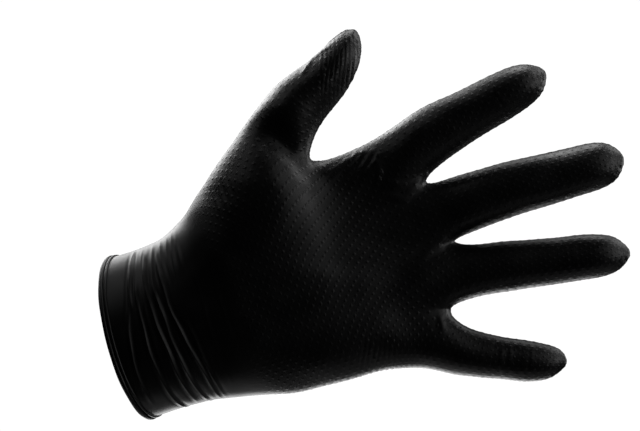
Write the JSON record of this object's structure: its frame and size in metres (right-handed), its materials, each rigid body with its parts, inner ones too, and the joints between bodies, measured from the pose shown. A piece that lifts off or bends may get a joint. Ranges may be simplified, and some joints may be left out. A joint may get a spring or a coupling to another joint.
{
  "type": "nitrile examination glove",
  "caption": "Thin dipped nitrile glove as worn on a spread hand, with a raised diamond grip, a wrinkled smooth cuff and a rolled rim.",
  "frame": {"origin": "middle of the cuff's opening, where the wrist goes in", "axes": "+X from the opening to the middle fingertip, +Z to the thumb's side, -Y out of the palm"},
  "size_m": [0.2373, 0.0593, 0.1712],
  "materials": {
    "nitrile_film": "black nitrile rubber, satin, with raised diamonds past the cuff"
  },
  "bodies": {
    "root": {"glove": "nitrile_film"}
  },
  "joints": []
}
